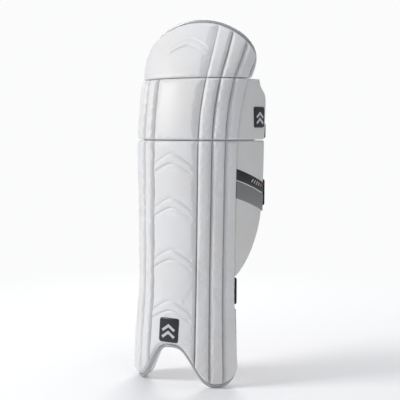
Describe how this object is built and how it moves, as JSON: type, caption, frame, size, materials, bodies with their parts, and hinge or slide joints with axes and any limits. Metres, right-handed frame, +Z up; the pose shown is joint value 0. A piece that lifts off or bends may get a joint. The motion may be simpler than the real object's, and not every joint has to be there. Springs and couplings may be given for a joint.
{
  "type": "cricket batting leg pad",
  "caption": "Padded shin and knee guard with vertical rolls, hinged knee and thigh sections, folding side wings and three hook-and-loop straps behind the leg.",
  "frame": {"origin": "under the middle of the whole pad, at the level of the bottoms of the two ankle ears, so the pad stands on z = 0; the leg's axis is 22 mm behind it", "axes": "+Z up the leg; -Y is the struck front face, +Y the open rear; +X is the outer side of the leg, where the straps close"},
  "size_m": [0.2507, 0.1736, 0.7],
  "materials": {
    "white_leather": "coated leather, satin, fine grain",
    "silver_piping": "glossy coated binding over cord",
    "black_mark": "glossy heat-set badge",
    "grey_mark": "satin film",
    "cane": "split cane, raw",
    "board": "firm closed-cell foam board",
    "foam": "closed-cell foam",
    "orange_satin": "satin lining over wadding",
    "orange_mesh": "open mesh over foam",
    "black_fabric": "matt lining over foam",
    "dotted_mesh": "spacer mesh, light dots on dark",
    "grey_band": "printed satin",
    "web_stripe": "woven striped webbing",
    "tab_rubber": "moulded soft tab, matt",
    "patch": "hook-and-loop patch, sewn",
    "emblem": "raised moulded emblem"
  },
  "bodies": {
    "shin": {"ankle_strap_anchor": "patch", "ankle_strap_loop_patch": "patch", "calf_bolster_inner": "dotted_mesh", "calf_bolster_outer": "dotted_mesh", "cane_rods": "cane", "centre_strip": "orange_mesh", "foot_piping": "silver_piping", "instep_lining": "white_leather", "shin_badge": "black_mark", "shin_core_board": "board", "shin_panel": "white_leather", "shin_roll_inner_1": "white_leather", "shin_roll_inner_2": "white_leather", "shin_roll_inner_3": "white_leather", "shin_roll_outer_1": "white_leather", "shin_roll_outer_2": "white_leather", "shin_roll_outer_3": "white_leather"},
    "knee": {"knee_cushion": "black_fabric", "knee_emblem": "emblem", "knee_foam_block": "foam", "knee_impact_insert": "foam", "knee_mesh_panel": "orange_mesh", "knee_panel": "white_leather", "knee_roll_inner_1": "white_leather", "knee_roll_inner_2": "white_leather", "knee_roll_inner_3": "white_leather", "knee_roll_outer_1": "white_leather", "knee_roll_outer_2": "white_leather", "knee_roll_outer_3": "white_leather", "knee_strap_anchor": "patch", "knee_strap_loop_patch": "patch", "knee_wing_inner": "white_leather", "knee_wing_outer": "white_leather", "wing_badge": "black_mark"},
    "top_hat": {"top_chevron_black": "black_fabric", "top_chevron_grey": "grey_band", "top_foam": "foam", "top_lining": "orange_satin", "top_panel": "white_leather", "top_piping": "silver_piping", "top_roll_1": "white_leather", "top_roll_2": "white_leather", "top_roll_3": "white_leather", "top_side_panel": "white_leather"},
    "outer_wing": {"calf_strap_loop_patch": "patch", "calf_wing_outer": "white_leather", "wing_edge_roll_outer": "orange_satin", "wing_lining_outer": "black_fabric", "wing_stripe_black": "black_mark", "wing_stripe_grey": "grey_mark"},
    "inner_wing": {"calf_strap_anchor": "patch", "calf_wing_inner": "white_leather", "wing_edge_roll_inner": "orange_satin", "wing_lining_inner": "black_fabric"},
    "knee_strap": {"knee_strap": "web_stripe"},
    "knee_strap_tab": {"knee_strap_tab": "tab_rubber"},
    "calf_strap": {"calf_strap": "web_stripe"},
    "calf_strap_tab": {"calf_strap_tab": "tab_rubber"},
    "ankle_strap": {"ankle_strap": "web_stripe"},
    "ankle_strap_tab": {"ankle_strap_tab": "tab_rubber"}
  },
  "joints": [
    {"name": "knee_flex", "type": "hinge", "parent": "shin", "child": "knee", "pos_m": [0, -0.074, 0.466], "axis": [1, 0, 0], "range_deg": [0, 10]},
    {"name": "top_flex", "type": "hinge", "parent": "knee", "child": "top_hat", "pos_m": [0, -0.049, 0.583], "axis": [1, 0, 0], "range_deg": [0, 12]},
    {"name": "outer_wing_fold", "type": "hinge", "parent": "shin", "child": "outer_wing", "pos_m": [0.1089, -0.0125, 0.33], "axis": [0, 0, -1], "range_deg": [0, 25]},
    {"name": "inner_wing_fold", "type": "hinge", "parent": "shin", "child": "inner_wing", "pos_m": [-0.1089, -0.0125, 0.33], "axis": [0, 0, 1], "range_deg": [0, 25]},
    {"name": "knee_strap_swing", "type": "hinge", "parent": "knee", "child": "knee_strap", "pos_m": [-0.0998, 0.0835, 0.484], "axis": [0, 0, 1], "range_deg": [0, 120]},
    {"name": "knee_tab_peel", "type": "hinge", "parent": "knee_strap", "child": "knee_strap_tab", "pos_m": [0.076, 0.0835, 0.484], "axis": [0, 0, 1], "range_deg": [0, 70]},
    {"name": "calf_strap_swing", "type": "hinge", "parent": "inner_wing", "child": "calf_strap", "pos_m": [-0.0998, 0.0817, 0.364], "axis": [0, 0, 1], "range_deg": [0, 120]},
    {"name": "calf_tab_peel", "type": "hinge", "parent": "calf_strap", "child": "calf_strap_tab", "pos_m": [0.064, 0.0817, 0.364], "axis": [0, 0, 1], "range_deg": [0, 70]},
    {"name": "ankle_strap_swing", "type": "hinge", "parent": "shin", "child": "ankle_strap", "pos_m": [-0.0798, -0.0003, 0.179], "axis": [0, 0, 1], "range_deg": [0, 110]},
    {"name": "ankle_tab_peel", "type": "hinge", "parent": "ankle_strap", "child": "ankle_strap_tab", "pos_m": [0.044, 0.00125, 0.179], "axis": [0, 0, 1], "range_deg": [0, 70]}
  ]
}
